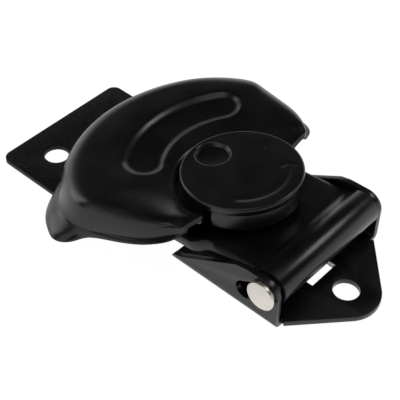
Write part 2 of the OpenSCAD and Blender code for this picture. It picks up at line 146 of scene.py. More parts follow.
class Bench:
    """Hand operations on one mesh object at a time."""

    @staticmethod
    def clear() -> None:
        """Deselect every object."""
        if bpy.context.object is not None and bpy.context.object.mode != "OBJECT":
            bpy.ops.object.mode_set(mode="OBJECT")
        bpy.ops.object.select_all(action="DESELECT")

    @staticmethod
    def take(obj: bpy.types.Object) -> None:
        """Make one object the only selected and active one.

        Args:
            obj: The object to take.
        """
        Bench.clear()
        obj.select_set(True)
        bpy.context.view_layer.objects.active = obj

    @staticmethod
    def label(obj: bpy.types.Object, name: str) -> bpy.types.Object:
        """Name a piece and its mesh."""
        obj.name = obj.data.name = name
        return obj

    @staticmethod
    def grid(name: str, rows: int, cols: int) -> bpy.types.Object:
        """Add a flat grid to be shaped.

        Args:
            name: Name of the new piece.
            rows: Count of points along the first direction.
            cols: Count of points along the second direction.

        Returns:
            The new object, with points from -1 to 1 both ways.
        """
        Bench.clear()
        bpy.ops.mesh.primitive_grid_add(x_subdivisions=rows - 1, y_subdivisions=cols - 1, size=2.0)
        return Bench.label(bpy.context.object, name)

    @staticmethod
    def points(obj: bpy.types.Object) -> np.ndarray:
        """Read the mesh's points.

        Args:
            obj: The object to read.

        Returns:
            The points as rows.
        """
        co = np.zeros(len(obj.data.vertices) * 3, np.float32)
        obj.data.vertices.foreach_get("co", co)
        return co.reshape(-1, 3).astype(float)

    @staticmethod
    def set_points(obj: bpy.types.Object, co: np.ndarray) -> None:
        """Move the mesh's points to new places."""
        obj.data.vertices.foreach_set("co", co.astype(np.float32).ravel())
        obj.data.update()

    @staticmethod
    def edit(obj: bpy.types.Object, action: Callable[[], object]) -> None:
        """Run edit-mode operators on the whole mesh.

        Args:
            obj: The object to edit.
            action: The operators to run with everything selected.
        """
        Bench.take(obj)
        bpy.ops.object.mode_set(mode="EDIT")
        bpy.ops.mesh.select_all(action="SELECT")
        action()
        bpy.ops.object.mode_set(mode="OBJECT")

    @staticmethod
    def modify(obj: bpy.types.Object, kind: str, **values: object) -> None:
        """Add one modifier and apply it.

        Args:
            obj: The object to change.
            kind: Type of the modifier.
            **values: Its settings.
        """
        Bench.take(obj)
        mod = obj.modifiers.new(kind.title(), kind)
        for key, value in values.items():
            setattr(mod, key, value)
        bpy.ops.object.modifier_apply(modifier=mod.name)

    @staticmethod
    def round_edges(obj: bpy.types.Object, width: float, segments: int, degrees: float) -> None:
        """Round the edges where faces meet at more than an angle.

        Args:
            obj: The object to round.
            width: Width of the rounding in millimetres.
            segments: Count of faces across it.
            degrees: The angle.
        """
        Bench.modify(obj, "BEVEL", width=width * MM, segments=segments, limit_method="ANGLE",
                     angle_limit=math.radians(degrees))

    @staticmethod
    def shade(obj: bpy.types.Object, degrees: float) -> None:
        """Shade smooth where faces meet at less than an angle."""
        Bench.take(obj)
        bpy.ops.object.shade_smooth_by_angle(angle=math.radians(degrees))

    @staticmethod
    def close(obj: bpy.types.Object, gap: float) -> None:
        """Merge points that lie closer than a gap in metres, and turn the faces outwards."""
        Bench.edit(obj, lambda: (bpy.ops.mesh.remove_doubles(threshold=gap),
                                 bpy.ops.mesh.normals_make_consistent(inside=False)))

    @staticmethod
    def spin(name: str, profile: Sequence[Sequence[float]], steps: int, turn: float = 360.0,
             start: float = 0.0, gap: float = 1e-6) -> bpy.types.Object:
        """Extrude a profile point by point and spin it clockwise round the Z axis.

        Args:
            name: Name of the new piece.
            profile: Radius and height of each point, in millimetres.
            steps: Count of steps round the axis.
            turn: Angle of the spin in degrees.
            start: Angle where the spin starts in degrees.
            gap: Distance in metres under which points are merged.

        Returns:
            The spun object.
        """
        Bench.clear()
        bpy.ops.mesh.primitive_plane_add(size=MM)
        obj = Bench.label(bpy.context.object, name)
        a = math.radians(start)
        places = [Vector((r * MM * math.cos(a), r * MM * math.sin(a), z * MM)) for r, z in profile]
        bpy.ops.object.mode_set(mode="EDIT")
        bpy.ops.mesh.select_all(action="SELECT")
        bpy.ops.mesh.merge(type="CENTER")
        bpy.ops.transform.translate(value=places[0])
        for here, there in zip(places[:-1], places[1:]):
            bpy.ops.mesh.extrude_region_move(TRANSFORM_OT_translate={"value": there - here})
        bpy.ops.mesh.select_all(action="SELECT")
        bpy.ops.mesh.spin(steps=steps, angle=math.radians(turn), center=(0, 0, 0), axis=(0, 0, 1))
        Bench.close(obj, gap)
        return obj

    @staticmethod
    def place(obj: bpy.types.Object, frame: Matrix) -> None:
        """Carry a piece into a frame and leave its place in its mesh.

        Args:
            obj: The piece.
            frame: The frame.
        """
        Bench.take(obj)
        obj.matrix_world = frame
        bpy.ops.object.transform_apply(location=True, rotation=True, scale=True)

    @staticmethod
    def copy_node(node: bpy.types.Object, name: str, gap: float = 2e-6,
                  flat: float = 0.6) -> bpy.types.Object:
        """Copy a solid's mesh, merge its loose triangles and dissolve its flat seams.

        Args:
            node: The solid's object.
            name: Name of the new piece.
            gap: Distance in metres under which points are merged.
            flat: Angle in degrees under which faces count as one.

        Returns:
            The copy, with flat faces whole.
        """
        obj = node.copy()
        obj.data = node.data.copy()
        Bench.label(obj, name)
        obj.parent = None
        for key in list(obj.keys()):
            del obj[key]
        bpy.context.scene.collection.objects.link(obj)
        Bench.edit(obj, lambda: (bpy.ops.mesh.remove_doubles(threshold=gap),
                                 bpy.ops.mesh.dissolve_limited(angle_limit=math.radians(flat))))
        obj.data.materials.clear()
        return obj

    @staticmethod
    def mark_rub(obj: bpy.types.Object, low: float = 14.0, high: float = 40.0) -> None:
        """Store how sharply the faces meet at each point, for rubbed edges.

        Args:
            obj: The object to measure.
            low: Angle in degrees where rubbing starts.
            high: Angle in degrees where it is full.
        """
        mesh = obj.data
        normals: dict[tuple[int, int], list[Vector]] = {}
        for poly in mesh.polygons:
            for key in poly.edge_keys:
                normals.setdefault(key, []).append(poly.normal.copy())
        sharp = np.zeros(len(mesh.vertices), np.float32)
        for (a, b), pair in normals.items():
            if len(pair) == 2 and pair[0].length > 0 and pair[1].length > 0:
                angle = math.degrees(pair[0].angle(pair[1]))
                value = min(1.0, max(0.0, (angle - low) / (high - low)))
                sharp[a] = max(sharp[a], value)
                sharp[b] = max(sharp[b], value)
        layer = mesh.attributes.get(EDGE_LAYER) or mesh.attributes.new(EDGE_LAYER, "FLOAT", "POINT")
        layer.data.foreach_set("value", sharp)


class Sheet:
    """A node tree with short calls for adding and linking nodes."""

    def __init__(self, tree: bpy.types.NodeTree) -> None:
        """Keep the tree."""
        self.tree = tree

    @classmethod
    def fresh(cls, owner: bpy.types.Material | bpy.types.World) -> Sheet:
        """Empty the node tree of a material or a world.

        Args:
            owner: The material or the world.

        Returns:
            The sheet of its tree.
        """
        owner.use_nodes = True
        owner.node_tree.nodes.clear()
        return cls(owner.node_tree)

    def add(self, kind: str, inputs: dict[object, object] | None = None,
            **settings: object) -> bpy.types.Node:
        """Add a node.

        Args:
            kind: Type of the node.
            inputs: Values or output sockets for its inputs, by name or place.
            **settings: Settings of the node.

        Returns:
            The new node.
        """
        node = self.tree.nodes.new(kind)
        for key, value in settings.items():
            setattr(node, key, value)
        for key, value in (inputs or {}).items():
            if isinstance(value, bpy.types.NodeSocket):
                self.tree.links.new(value, node.inputs[key])
            else:
                node.inputs[key].default_value = value
        return node

    def group(self, tree: bpy.types.NodeTree, **inputs: object) -> bpy.types.NodeOutputs:
        """Place a shader group and give its outputs."""
        return self.add("ShaderNodeGroup", inputs, node_tree=tree).outputs

    def noise(self, where: object, scale: object, detail: float,
              roughness: float = 0.5) -> bpy.types.NodeSocket:
        """Add a noise texture and give its value."""
        inputs = {"Vector": where, "Scale": scale, "Detail": detail, "Roughness": roughness}
        return self.add("ShaderNodeTexNoise", inputs).outputs[0]

    def math(self, operation: str, *values: object) -> bpy.types.NodeSocket:
        """Add a math node and give its result."""
        return self.add("ShaderNodeMath", dict(enumerate(values)), operation=operation).outputs[0]

    def mix(self, factor: object, first: object, second: object) -> bpy.types.NodeSocket:
        """Mix two colours and give the result."""
        node = self.add("ShaderNodeMix", {0: factor, 6: first, 7: second}, data_type="RGBA")
        return node.outputs[2]

    def remap(self, value: object, low: float, high: float, to_low: float = 0.0,
              to_high: float = 1.0) -> bpy.types.NodeSocket:
        """Map a value from one range to another, smoothly and clamped."""
        node = self.add("ShaderNodeMapRange", {0: value, 1: low, 2: high, 3: to_low, 4: to_high},
                        interpolation_type="SMOOTHSTEP")
        return node.outputs[0]


@dataclass
class Effects:
    """The shader groups that several finishes share."""

    wave_detail: float = 2.0
    fine_step: float = 4.0
    fine_detail: float = 3.0
    cloud_scale: float = 70.0
    cloud_detail: float = 5.0
    cloud_rough: float = 0.6
    cloud_band: tuple[float, float] = (0.32, 0.7)
    fleck_band: tuple[float, float] = (0.5, 0.68)
    flake_detail: float = 4.0
    flake_rough: float = 0.7
    spot_scale: float = 120.0
    spot_detail: float = 2.0
    chip_level: float = 1.5
    chip_fade: float = 0.12
    speck_least: float = 0.35
    peel: bpy.types.NodeTree = field(init=False)
    rub: bpy.types.NodeTree = field(init=False)
    specks: bpy.types.NodeTree = field(init=False)

    def __post_init__(self) -> None:
        """Build each group once."""
        self.peel = self.make_peel()
        self.rub = self.make_rub()
        self.specks = self.make_specks()

    @staticmethod
    def start(name: str, inputs: dict[str, float], outputs: Sequence[str]) -> tuple[Sheet, dict]:
        """Start a group with a vector input and named values.

        Args:
            name: Name of the group.
            inputs: Names and default values of the inputs.
            outputs: Names of the outputs.

        Returns:
            The sheet, and its input sockets by name.
        """
        tree = bpy.data.node_groups.new(name, "ShaderNodeTree")
        tree.interface.new_socket("Vector", in_out="INPUT", socket_type="NodeSocketVector")
        for key, value in inputs.items():
            socket = tree.interface.new_socket(key, in_out="INPUT", socket_type="NodeSocketFloat")
            socket.default_value = value
        for key in outputs:
            tree.interface.new_socket(key, in_out="OUTPUT", socket_type="NodeSocketFloat")
        sheet = Sheet(tree)
        source = sheet.add("NodeGroupInput")
        return sheet, {s.name: s for s in source.outputs if s.name}

    def make_peel(self) -> bpy.types.NodeTree:
        """Fine waviness of a sprayed or dipped coat, with cloudy gloss and pale flecks.

        Returns:
            The group.
        """
        sheet, ins = self.start("coat_peel", {"Scale": 900.0, "Grain": 0.3}, ("Height", "Cloud", "Fleck"))
        wave = sheet.noise(ins["Vector"], ins["Scale"], self.wave_detail)
        fine_scale = sheet.math("MULTIPLY", ins["Scale"], self.fine_step)
        fine = sheet.noise(ins["Vector"], fine_scale, self.fine_detail)
        cloud = sheet.noise(ins["Vector"], self.cloud_scale, self.cloud_detail, self.cloud_rough)
        sheet.add("NodeGroupOutput", {
            "Height": sheet.math("ADD", wave, sheet.math("MULTIPLY", fine, ins["Grain"])),
            "Cloud": sheet.remap(cloud, *self.cloud_band),
            "Fleck": sheet.remap(wave, *self.fleck_band),
        })
        return sheet.tree

    def make_rub(self) -> bpy.types.NodeTree:
        """Chips along edges, where the coat is broken and the steel shows.

        Returns:
            The group.
        """
        sheet, ins = self.start("edge_chips", {"Amount": 0.5, "Scale": 1400.0}, ("Mask",))
        edge = sheet.add("ShaderNodeAttribute", attribute_name=EDGE_LAYER).outputs["Fac"]
        flakes = sheet.noise(ins["Vector"], ins["Scale"], self.flake_detail, self.flake_rough)
        spots = sheet.noise(ins["Vector"], self.spot_scale, self.spot_detail)
        worn = sheet.math("MULTIPLY", sheet.math("ADD", flakes, spots), edge)
        level = sheet.math("SUBTRACT", self.chip_level, ins["Amount"])
        mask = sheet.remap(sheet.math("SUBTRACT", worn, level), 0.0, self.chip_fade)
        sheet.add("NodeGroupOutput", {"Mask": mask})
        return sheet.tree

    def make_specks(self) -> bpy.types.NodeTree:
        """Scattered dust specks of uneven size.

        Returns:
            The group.
        """
        sheet, ins = self.start("dust_specks", {"Scale": 260.0, "Size": 0.05, "Share": 0.12}, ("Mask",))
        cell = sheet.add("ShaderNodeTexVoronoi", {"Vector": ins["Vector"], "Scale": ins["Scale"]}).outputs
        parts = sheet.add("ShaderNodeSeparateColor", {0: cell["Color"]}).outputs
        wide = sheet.math("MULTIPLY", ins["Size"], sheet.math("ADD", self.speck_least, parts[1]))
        dot = sheet.math("LESS_THAN", cell["Distance"], wide)
        kept = sheet.math("LESS_THAN", parts[0], ins["Share"])
        sheet.add("NodeGroupOutput", {"Mask": sheet.math("MULTIPLY", dot, kept)})
        return sheet.tree


@dataclass(frozen=True)
class CoatFinish:
    """A black coat over steel, with waviness, dust and chipped edges."""

    slot: Slot
    color: tuple[float, float, float]
    haze: tuple[float, float, float]
    rough_low: float
    rough_high: float
    peel_scale: float
    grain: float
    peel_height: float
    chip_amount: float
    dust_share: float
    fleck: float = 0.0
    specular: float = 0.5
    fleck_tone: tuple[float, float, float] = (0.05, 0.05, 0.05)
    dust_tone: tuple[float, float, float] = (0.5, 0.49, 0.47)
    dust_cover: float = 0.3
    dust_rough: float = 0.4
    steel_tone: tuple[float, float, float] = (0.42, 0.41, 0.4)
    steel_metal: float = 0.8

    def make(self, effects: Effects) -> bpy.types.Material:
        """Build the material.

        Args:
            effects: The shared shader groups.

        Returns:
            The finished material.
        """
        mat = bpy.data.materials.new(self.slot.value)
        sheet = Sheet.fresh(mat)
        where = sheet.add("ShaderNodeTexCoord").outputs["Object"]
        peel = sheet.group(effects.peel, Vector=where, Scale=self.peel_scale, Grain=self.grain)
        chips = sheet.group(effects.rub, Vector=where, Amount=self.chip_amount)
        dust = sheet.group(effects.specks, Vector=where, Share=self.dust_share)
        clear = sheet.mix(peel["Cloud"], opaque(self.color), opaque(self.haze))
        flecks = sheet.math("MULTIPLY", peel["Fleck"], self.fleck)
        coat = sheet.mix(flecks, clear, opaque(self.fleck_tone))
        film = sheet.math("MULTIPLY", dust["Mask"], self.dust_cover)
        dusty = sheet.mix(film, coat, opaque(self.dust_tone))
        worn = sheet.mix(chips["Mask"], dusty, opaque(self.steel_tone))
        rough = sheet.remap(peel["Cloud"], 0.0, 1.0, self.rough_low, self.rough_high)
        dull = sheet.math("MULTIPLY", dust["Mask"], self.dust_rough)
        bump = sheet.add("ShaderNodeBump", {
            "Strength": 1.0, "Distance": self.peel_height, "Height": peel["Height"]})
        shader = sheet.add("ShaderNodeBsdfPrincipled", {
            "Base Color": worn,
            "Roughness": sheet.math("ADD", rough, dull),
            "Metallic": sheet.math("MULTIPLY", chips["Mask"], self.steel_metal),
            "Normal": bump.outputs[0],
            "Specular IOR Level": self.specular,
        })
        sheet.add("ShaderNodeOutputMaterial", {"Surface": shader.outputs[0]})
        return mat


@dataclass(frozen=True)
class MetalFinish:
    """Bare or plated steel with cloudy tone, fine scratches and turning rings round an axis."""

    slot: Slot
    color: tuple[float, float, float]
    shade: tuple[float, float, float]
    rough_low: float
    rough_high: float
    centre: tuple[float, float, float] = (0.0, 0.0, 0.0)
    ring_pitch: float = 0.00028
    ring_share: float = 0.25
    grain_scale: float = 2200.0
    grain: float = 0.5
    scratch_scale: tuple[float, float, float] = (900.0, 120.0, 2600.0)
    scratch_detail: float = 3.0
    scratch_band: tuple[float, float] = (0.58, 0.72)
    scratch_cover: float = 0.35
    scratch_dark: float = 0.55
    mark_height: float = 0.000006

    def rings(self, sheet: Sheet, where: bpy.types.NodeSocket) -> bpy.types.NodeSocket:
        """Turning rings round a line along Y through the finish's centre.

        Args:
            sheet: The material's nodes.
            where: The place on the piece.

        Returns:
            The height of the rings.
        """
        moved = sheet.add("ShaderNodeVectorMath", {0: where, 1: self.centre}, operation="SUBTRACT")
        axes = sheet.add("ShaderNodeSeparateXYZ", {0: moved.outputs[0]}).outputs
        squares = [sheet.math("MULTIPLY", axis, axis) for axis in (axes[0], axes[2])]
        radius = sheet.math("SQRT", sheet.math("ADD", *squares))
        return sheet.math("SINE", sheet.math("MULTIPLY", radius, 2.0 * math.pi / self.ring_pitch))

    def make(self, effects: Effects) -> bpy.types.Material:
        """Build the material.

        Args:
            effects: The shared shader groups.

        Returns:
            The finished material.
        """
        mat = bpy.data.materials.new(self.slot.value)
        sheet = Sheet.fresh(mat)
        where = sheet.add("ShaderNodeTexCoord").outputs["Object"]
        peel = sheet.group(effects.peel, Vector=where, Scale=self.grain_scale, Grain=self.grain)
        long = sheet.add("ShaderNodeMapping", {"Vector": where, "Scale": self.scratch_scale}).outputs[0]
        marks = sheet.remap(sheet.noise(long, 1.0, self.scratch_detail), *self.scratch_band)
        tone = sheet.mix(peel["Cloud"], opaque(self.color), opaque(self.shade))
        dark = opaque([c * self.scratch_dark for c in self.shade])
        marked = sheet.mix(sheet.math("MULTIPLY", marks, self.scratch_cover), tone, dark)
        turned = sheet.math("MULTIPLY", self.rings(sheet, where), self.ring_share)
        height = sheet.math("ADD", turned, sheet.math("SUBTRACT", peel["Height"], marks))
        bump = sheet.add("ShaderNodeBump", {"Strength": 1.0, "Distance": self.mark_height, "Height": height})
        shader = sheet.add("ShaderNodeBsdfPrincipled", {
            "Base Color": marked,
            "Roughness": sheet.remap(peel["Cloud"], 0.0, 1.0, self.rough_low, self.rough_high),
            "Metallic": 1.0,
            "Normal": bump.outputs[0],
        })
        sheet.add("ShaderNodeOutputMaterial", {"Surface": shader.outputs[0]})
        return mat


@dataclass
class Paintbox:
    """All finishes of the latch, by slot."""

    materials: dict[Slot, bpy.types.Material] = field(default_factory=dict)

    def mix_all(self, layout: Layout) -> None:
        """Make every material.

        Args:
            layout: Gives the pin's axis, which its turning rings run round.
        """
        effects = Effects()
        finishes = (
            CoatFinish(Slot.BLACK, color=(0.0022, 0.0022, 0.0024), haze=(0.0035, 0.0035, 0.0037),
                       rough_low=0.27, rough_high=0.34, peel_scale=700.0, grain=0.25,
                       peel_height=0.0000025, chip_amount=0.42, dust_share=0.05),
            CoatFinish(Slot.MATT, color=(0.002, 0.002, 0.002), haze=(0.004, 0.004, 0.004),
                       rough_low=0.45, rough_high=0.6, peel_scale=1500.0, grain=0.9,
                       peel_height=0.00005, chip_amount=0.4, dust_share=0.06, fleck=0.22, specular=0.2),
            MetalFinish(Slot.PLATED, color=(0.74, 0.71, 0.66), shade=(0.6, 0.57, 0.52),
                        rough_low=0.3, rough_high=0.46, centre=tuple(layout.pin().translation)),
            MetalFinish(Slot.SPRING, color=(0.24, 0.24, 0.26), shade=(0.16, 0.16, 0.18),
                        rough_low=0.3, rough_high=0.45),
        )
        for finish in finishes:
            self.materials[finish.slot] = finish.make(effects)

    def coat(self, obj: bpy.types.Object, slot: Slot) -> None:
        """Give an object one finish."""
        obj.data.materials.clear()
        obj.data.materials.append(self.materials[slot])


@dataclass
class Fitter:
    """Finishes a new piece: finish, body, slot and the solids that it stands for."""

    frame: dict
    paint: Paintbox

    def fit(self, obj: bpy.types.Object, slot: Slot, body: Body, *nodes: str) -> None:
        """Finish one piece.

        Args:
            obj: The piece.
            slot: Its finish.
            body: The body it moves with.
            *nodes: The solids that it stands for.
        """
        Bench.mark_rub(obj)
        self.paint.coat(obj, slot)
        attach(obj, body.value)
        if nodes:
            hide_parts(*nodes)
        LOG.info("%s: %d faces on %s", obj.name, len(obj.data.polygons), body.value)


@dataclass
class Layout:
    """Shared places of the latch: the tilted hinge plate, the cap's centre and the rivet."""

    pin_x: float = 9.34
    pin_z: float = 10.16
    plate_fall: float = 5.5
    cap_along: float = 23.4
    eccentric: float = 9.4
    sheet_t: float = 1.5

    def pin(self) -> Matrix:
        """Frame at the middle of the pin, in metres."""
        return Matrix.Translation(Vector((-self.pin_x, 0.0, self.pin_z)) * MM)

    def plate(self) -> Matrix:
        """Frame of the closed hinge plate, at the pin."""
        return self.pin() @ Matrix.Rotation(math.radians(-self.plate_fall), 4, "Y")

    def along(self, distance: float) -> Matrix:
        """Frame on the hinge plate at a distance from the pin."""
        return self.plate() @ Matrix.Translation(Vector((-distance, 0.0, 0.0)) * MM)

    def cap(self) -> Matrix:
        """Frame at the cap's centre."""
        return self.along(self.cap_along)

    def rivet(self) -> Matrix:
        """Frame at the rivet."""
        return self.along(self.cap_along + self.eccentric)


@dataclass
class Stations:
    """Places along the handle's outline: foot of the wall, way out, and five facts of each place."""

    rows: np.ndarray

    @staticmethod
    def stack(foot: np.ndarray, out: np.ndarray, *facts: object) -> np.ndarray:
        """Rows of feet, ways out, inner angles, lower edges, shoulders, lip reaches and lip heights."""
        return np.column_stack([foot, out, *(np.broadcast_to(fact, len(foot)) for fact in facts)])

    @classmethod
    def mirrored(cls, half: np.ndarray) -> Stations:
        """Both halves of an outline, from one end to the other."""
        other_side = np.array([1, -1, 1, -1, -1, 1, 1, 1, 1])
        return cls(np.vstack([half[:0:-1] * other_side, half]))

    def even(self, count: int, soft: float, spread: float = 4.0) -> Stations:
        """Even and softened places.

        Args:
            count: Number of places.
            soft: Width of the softening, in places.
            spread: Widths that the softening reaches each way.

        Returns:
            The new stations.
        """
        mean = self.foot + 0.5 * self.reach * self.out
        run = np.concatenate([[0], np.cumsum(np.linalg.norm(np.diff(mean, axis=0), axis=1))])
        places = np.linspace(0, run[-1], count)
        rows = np.stack([np.interp(places, run, column) for column in self.rows.T], -1)
        rows = soften(rows, soft, spread)
        rows[:, 2:4] = unit(rows[:, 2:4])
        return Stations(rows)

    @property
    def foot(self) -> np.ndarray:
        """Foot of the wall."""
        return self.rows[:, :2]

    @property
    def out(self) -> np.ndarray:
        """Way out from the wall."""
        return self.rows[:, 2:4]

    @property
    def inner(self) -> np.ndarray:
        """Angle on the inner edge."""
        return self.rows[:, 4]

    @property
    def low(self) -> np.ndarray:
        """Height of the lower edge."""
        return self.rows[:, 5:6]

    @property
    def wide(self) -> np.ndarray:
        """Width of the shoulder."""
        return self.rows[:, 6:7]

    @property
    def reach(self) -> np.ndarray:
        """Reach of the lip."""
        return self.rows[:, 7:8]

    @property
    def rise(self) -> np.ndarray:
        """Height of the lip."""
        return self.rows[:, 8:9]


@dataclass
class HalfMoonHandle:
    """The pressed half-moon handle: domed rim, flared noses, hollow trailing edges, finger groove."""

    layout: Layout
    top: float = 9.0
    crown: float = 1.6
    rim_at: float = 6.8
    rim_r: float = 41.2
    rim_half: float = 62.0
    rim_draw: float = 1.6
    draw_from: float = 34.0
    draw_to: float = 60.0
    lip_from: float = 32.0
    lip_full: float = 56.0
    nose_r: float = 3.0
    nose_turn: float = 74.0
    lip_out: float = 4.8
    lip_h: float = 2.9
    trail_lip: float = 1.0
    trail_back: float = 0.4
    tip_lip: float = 0.5
    rim_lip: float = 0.3
    rim_low: float = 1.4
    nose_low: float = 1.3
    tip_low: float = 6.2
    end_low: float = 7.4
    end_edge: float = 0.8
    end_slant: tuple[float, float] = (0.5, 0.6)
    shoulder: float = 7.0
    nose_shoulder: float = 7.6
    tip_shoulder: float = 4.0
    end_shoulder: float = 0.4
    end_crown: float = 0.3
    shoulder_bend: float = 2.0 / 2.3
    inner_r: float = 16.2
    inner_stops: tuple[float, float, float, float] = (40.0, 52.0, 80.0, 97.0)
    tip_r: float = 6.9
    tip_c: tuple[float, float] = (5.3, 21.9)
    tip_turn: tuple[float, float] = (115.0, 167.0)
    trail_pull: tuple[float, float] = (2.4, 5.5)
    trail_lean: float = 42.0
    seat: float = 6.8
    edge_round: float = 2.0
    groove_c: tuple[float, float] = (3.0, 3.4)
    groove_r: float = 24.4
    groove_w: float = 11.2
    groove_d: float = 1.0
    groove_half: float = 37.0
    groove_wall: float = 2.2
    trail_relax: float = 0.15
    flare_share: float = 0.6
    ease_range: tuple[float, float] = (-1.0, 1.2)
    least_bead: float = 0.05
    least_top: float = 0.6
    least_shoulder: float = 0.1
    nose_from: float = 2.0 / 3.0
    lip_fall_from: float = 0.375
    tip_from: float = 0.5
    cut_round: float = 0.25
    cut_angle: float = 50.0
    rim_steps: int = 90
    nose_steps: int = 30
    trail_steps: int = 50
    tip_steps: int = 14
    line_steps: int = 281
    line_soft: float = 2.2
    bead_steps: int = 9
    top_steps: int = 42
    shoulder_steps: int = 32
    lip_steps: int = 15
    hollow: tuple[int, int] = (-16, 13)

    def rim(self) -> np.ndarray:
        """Stations from the middle of the rim to the corner of a nose.

        Returns:
            The rows of the stations.
        """
        t = np.linspace(0, 1, self.rim_steps)
        a = self.rim_half * t
        near = late(t, self.nose_from)
        flare = smooth((a - self.lip_from) / (self.lip_full - self.lip_from))
        r = self.rim_r - self.rim_draw * smooth((a - self.draw_from) / (self.draw_to - self.draw_from))
        return Stations.stack(
            np.array([self.rim_at, 0.0]) + polar(r, a), polar(1.0, a), self.inner_stops[0] * t,
            mix(self.rim_low, self.nose_low, near), mix(self.shoulder, self.nose_shoulder, near),
            mix(self.rim_lip, self.lip_out, flare), mix(self.rim_lip, self.lip_h, flare))

    def nose(self) -> np.ndarray:
        """Stations round the corner of a nose.

        Returns:
            The rows of the stations.
        """
        t = np.linspace(0, 1, self.nose_steps)[1:]
        a = self.rim_half + self.nose_turn * t
        centre = np.array([self.rim_at, 0.0])
        centre = centre + polar(self.rim_r - self.rim_draw - self.nose_r, self.rim_half)
        return Stations.stack(
            centre + polar(self.nose_r, a), polar(1.0, a), mix(*self.inner_stops[:2], t),
            self.nose_low, self.nose_shoulder, mix(self.lip_out, self.trail_lip, smooth(t)),
            mix(self.lip_h, self.trail_lip, late(t, self.lip_fall_from)))

    def trail(self, start: np.ndarray) -> np.ndarray:
        """Stations along a hollow trailing edge, as one curve from the nose to the tip.

        Args:
            start: The last foot at the nose.

        Returns:
            The rows of the stations.
        """
        t = np.linspace(0, 1, self.trail_steps)[1:, None]
        end = np.array(self.tip_c) + polar(self.tip_r, self.tip_turn[0])
        leave = start + polar(self.trail_pull[0], self.rim_half + self.nose_turn + 90.0)
        meet = end + polar(self.trail_pull[1], self.trail_lean)
        foot = (1 - t) ** 3 * start + 3 * t * (1 - t) ** 2 * leave + 3 * t * t * (1 - t) * meet + t ** 3 * end
        way = (1 - t) ** 2 * (leave - start) + 2 * t * (1 - t) * (meet - leave) + t * t * (end - meet)
        out = unit(np.stack([way[:, 1], -way[:, 0]], -1))
        t = t[:, 0]
        foot = foot - out * (self.trail_back * np.sin(math.pi * t))[:, None]
        lip = mix(self.trail_lip, self.tip_lip, late(t, self.tip_from))
        return Stations.stack(
            foot, out, mix(*self.inner_stops[1:3], t), mix(self.nose_low, self.tip_low, t),
            mix(self.nose_shoulder, self.tip_shoulder, t), lip, lip)

    def tip(self) -> np.ndarray:
        """Stations round the corner at an end of the crescent.

        Returns:
            The rows of the stations.
        """
        t = np.linspace(0, 1, self.tip_steps)[1:]
        a = mix(*self.tip_turn, t)
        lip = mix(self.tip_lip, self.rim_lip, t)
        return Stations.stack(
            np.array(self.tip_c) + polar(self.tip_r, a), polar(1.0, a), mix(*self.inner_stops[2:], t),
            mix(self.tip_low, self.end_low, t), mix(self.tip_shoulder, self.end_shoulder, t), lip, lip)

    def groove(self, plan: np.ndarray) -> np.ndarray:
        """Depth of the finger groove.

        Args:
            plan: Points in millimetres.

        Returns:
            The depth at each point.
        """
        place = plan - np.array(self.groove_c)
        angle = np.degrees(np.arctan2(place[..., 1], place[..., 0]))
        line = polar(self.groove_r, np.clip(angle, -self.groove_half, self.groove_half))
        off = np.linalg.norm(place - line, axis=-1)
        return self.groove_d * smooth((self.groove_w / 2 - off) / self.groove_wall)

    def skin(self, line: Stations, depth: float) -> np.ndarray:
        """Points of the sheet at a depth under its outer face.

        Args:
            line: The stations along the outline.
            depth: Depth under the outer face.

        Returns:
            Rows of points from the inner edge over the top and down to the lip, one row for each station.
        """
        start = polar(self.inner_r, line.inner)
        full = smooth((line.wide - self.end_shoulder) / (self.tip_shoulder - self.end_shoulder))
        lean = mix(unit(line.foot - start), line.out, full)
        foot = line.foot - depth * unit(lean)
        run = np.linalg.norm(foot - start, axis=1, keepdims=True)
        way = (foot - start) / run
        crown = self.crown * mix(self.end_crown, 1.0, full)
        edge = np.maximum(mix(self.end_edge, self.edge_round, full), depth + self.least_bead)
        sill = line.low + np.maximum(0.0, line.rise - depth)
        wide = np.clip(line.wide - depth, self.least_shoulder, run - edge - self.least_top)
        top = self.top + crown - depth
        bead = polar(1.0, np.linspace(180, 90, self.bead_steps))
        t = np.linspace(0, 1, self.top_steps)[1:]
        a = np.radians(np.linspace(0, 90, self.shoulder_steps)[1:])
        b = np.radians(np.linspace(0, 90, self.lip_steps)[1:])
        column = np.ones_like(run)
        across = np.hstack([depth * column,
                            edge + (edge - depth) * bead[:, 0],
                            mix(edge, run - wide, t),
                            run - wide + wide * np.sin(a) ** self.shoulder_bend])
        height = np.hstack([self.seat * column,
                            self.top - edge + (edge - depth) * bead[:, 1],
                            self.top - depth + crown * np.sin(t * math.pi / 2),
                            sill + (top - sill) * np.abs(np.cos(a)) ** self.shoulder_bend])
        plan = start[:, None] + way[:, None] * across[..., None]
        lip = foot[:, None] + line.out[:, None] * (line.reach * np.sin(b))[..., None]
        height = np.hstack([height - self.groove(plan), mix(line.low, sill, np.cos(b))])
        points = np.dstack([np.hstack([plan, lip]), height])
        soft = points.copy()
        self.relax(soft, *(plan.shape[1] + step for step in self.hollow))
        flare = smooth((line.reach - self.trail_lip) / (self.flare_share * self.lip_out))
        points += mix(self.trail_relax, 1.0, flare)[..., None] * (soft - points)
        share = np.concatenate([smooth(np.linspace(*self.ease_range, plan.shape[1])), np.cos(b) ** 2])
        return self.ease_noses(points, share) * np.array([-1, 1, 1])

    @staticmethod
    def ease_noses(points: np.ndarray, share: np.ndarray, width: float = 9.5,
                   spread: float = 3.0) -> np.ndarray:
        """Round the wall's corners along the outline and leave the edges where they are.

        Args:
            points: Rows of points.
            share: Share of the rounding for each column.
            width: Width of the rounding, in stations.
            spread: Widths that the rounding reaches each way.

        Returns:
            The rounded rows.
        """
        return points + share[None, :, None] * (soften(points, width, spread) - points)

